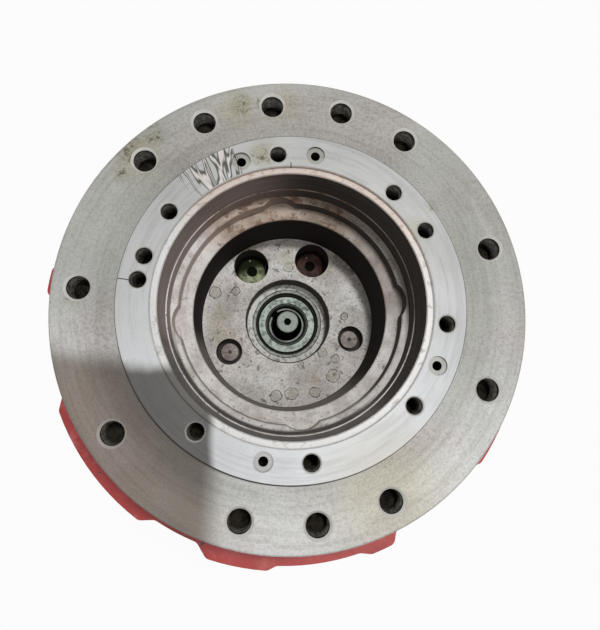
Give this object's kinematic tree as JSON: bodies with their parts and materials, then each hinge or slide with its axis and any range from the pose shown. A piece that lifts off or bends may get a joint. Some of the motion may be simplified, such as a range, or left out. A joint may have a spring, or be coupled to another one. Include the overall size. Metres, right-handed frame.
{
  "type": "final drive",
  "caption": "Hub-mounted planetary track drive: a fixed flanged spindle with an open motor bore in a turning red sprocket hub.",
  "frame": {"origin": "middle of the end cover's outer face, on the turning axis", "axes": "+Z along the turning axis, out of the open motor bore; +Y through the top frame hole, between the two control pistons"},
  "size_m": [0.4774, 0.4776, 0.366],
  "materials": {
    "bearing_steel": "ground and polished bearing steel",
    "black_bolt": "black oxide finish",
    "bush_bronze": "oiled bronze",
    "cage_steel": "pressed steel, oiled",
    "carrier_iron": "machined ductile iron",
    "gear_steel": "case-hardened gear steel, ground flanks",
    "machined_iron": "turned and ground grey iron, oiled and lightly scratched",
    "piston_steel": "ground steel with oil stains",
    "plug_steel": "yellow-passivated steel",
    "red_paint": "satin red enamel, chipped at the edges",
    "seal_metal": "lapped seal iron",
    "seal_rubber": "black nitrile rubber",
    "shaft_steel": "ground steel with a thin film of oil"
  },
  "bodies": {
    "spindle": {"spindle_housing": "machined_iron", "fixed_seal_ring": "seal_metal", "fixed_seal_cushion": "seal_rubber", "upper_bearing_inner": "bearing_steel", "lower_bearing_inner": "bearing_steel", "bearing_nut": "carrier_iron", "second_carrier": "carrier_iron", "carrier_bolts": "black_bolt", "carrier_dowels": "bearing_steel", "second_planet_pins": "bearing_steel", "second_thrust_washers": "bearing_steel", "shaft_seal_case": "shaft_steel", "shaft_seal_lip": "seal_rubber", "split_ring": "shaft_steel", "swash_pivots": "piston_steel"},
    "hub": {"hub_housing": "red_paint", "moving_seal_ring": "seal_metal", "moving_seal_cushion": "seal_rubber", "upper_bearing_outer": "bearing_steel", "lower_bearing_outer": "bearing_steel", "ring_gear": "red_paint", "hub_joint_seal": "seal_rubber", "cover_joint_seal": "seal_rubber", "end_cover": "red_paint", "thrust_button": "bearing_steel", "cover_bolts": "black_bolt", "oil_plugs": "plug_steel"},
    "upper_rollers": {"upper_bearing_cage": "cage_steel", "upper_bearing_rollers": "bearing_steel"},
    "lower_rollers": {"lower_bearing_cage": "cage_steel", "lower_bearing_rollers": "bearing_steel"},
    "first_carrier": {"first_carrier": "carrier_iron", "second_sun": "gear_steel", "first_planet_pins": "bearing_steel", "first_thrust_washers": "bearing_steel", "first_pin_clips": "bearing_steel"},
    "input_shaft": {"input_shaft": "shaft_steel"},
    "control_piston_left": {"control_piston_left": "piston_steel"},
    "control_piston_right": {"control_piston_right": "piston_steel"},
    "second_planet_1": {"second_planet_1": "gear_steel", "second_bush_1": "bush_bronze"},
    "second_planet_2": {"second_planet_2": "gear_steel", "second_bush_2": "bush_bronze"},
    "second_planet_3": {"second_planet_3": "gear_steel", "second_bush_3": "bush_bronze"},
    "first_planet_1": {"first_planet_1": "gear_steel", "first_bush_1": "bush_bronze"},
    "first_planet_2": {"first_planet_2": "gear_steel", "first_bush_2": "bush_bronze"},
    "first_planet_3": {"first_planet_3": "gear_steel", "first_bush_3": "bush_bronze"}
  },
  "joints": [
    {"name": "hub_turn", "type": "hinge", "parent": "spindle", "child": "hub", "pos_m": [0, 0, 0.216], "axis": [0, 0, 1], "continuous": true},
    {"name": "upper_rollers_turn", "type": "hinge", "parent": "spindle", "child": "upper_rollers", "pos_m": [0, 0, 0.271], "axis": [0, 0, 1], "continuous": true},
    {"name": "lower_rollers_turn", "type": "hinge", "parent": "spindle", "child": "lower_rollers", "pos_m": [0, 0, 0.209], "axis": [0, 0, 1], "continuous": true},
    {"name": "first_carrier_turn", "type": "hinge", "parent": "spindle", "child": "first_carrier", "pos_m": [0, 0, 0.075], "axis": [0, 0, 1], "continuous": true},
    {"name": "input_shaft_turn", "type": "hinge", "parent": "spindle", "child": "input_shaft", "pos_m": [0, 0, 0.056], "axis": [0, 0, 1], "continuous": true},
    {"name": "second_planet_1_turn", "type": "hinge", "parent": "spindle", "child": "second_planet_1", "pos_m": [0, 0.09, 0.124], "axis": [0, 0, 1], "continuous": true},
    {"name": "second_planet_2_turn", "type": "hinge", "parent": "spindle", "child": "second_planet_2", "pos_m": [-0.07794, -0.045, 0.124], "axis": [0, 0, 1], "continuous": true},
    {"name": "second_planet_3_turn", "type": "hinge", "parent": "spindle", "child": "second_planet_3", "pos_m": [0.07794, -0.045, 0.124], "axis": [0, 0, 1], "continuous": true},
    {"name": "first_planet_1_turn", "type": "hinge", "parent": "first_carrier", "child": "first_planet_1", "pos_m": [0, 0.084, 0.052], "axis": [0, 0, 1], "continuous": true},
    {"name": "first_planet_2_turn", "type": "hinge", "parent": "first_carrier", "child": "first_planet_2", "pos_m": [-0.07275, -0.042, 0.052], "axis": [0, 0, 1], "continuous": true},
    {"name": "first_planet_3_turn", "type": "hinge", "parent": "first_carrier", "child": "first_planet_3", "pos_m": [0.07275, -0.042, 0.052], "axis": [0, 0, 1], "continuous": true},
    {"name": "control_piston_left_stroke", "type": "slide", "parent": "spindle", "child": "control_piston_left", "axis": [0, 0, 1], "range_m": [0, 0.012]},
    {"name": "control_piston_right_stroke", "type": "slide", "parent": "spindle", "child": "control_piston_right", "axis": [0, 0, 1], "range_m": [0, 0.012]}
  ],
  "couplings": [
    {"joint": "upper_rollers_turn", "follows": "hub_turn", "ratio": 0.52573},
    {"joint": "lower_rollers_turn", "follows": "hub_turn", "ratio": 0.52573},
    {"joint": "first_carrier_turn", "follows": "hub_turn", "ratio": -4},
    {"joint": "input_shaft_turn", "follows": "hub_turn", "ratio": -34},
    {"joint": "second_planet_1_turn", "follows": "hub_turn", "ratio": 2.6667},
    {"joint": "second_planet_2_turn", "follows": "hub_turn", "ratio": 2.6667},
    {"joint": "second_planet_3_turn", "follows": "hub_turn", "ratio": 2.6667},
    {"joint": "first_planet_1_turn", "follows": "hub_turn", "ratio": 12},
    {"joint": "first_planet_2_turn", "follows": "hub_turn", "ratio": 12},
    {"joint": "first_planet_3_turn", "follows": "hub_turn", "ratio": 12}
  ]
}
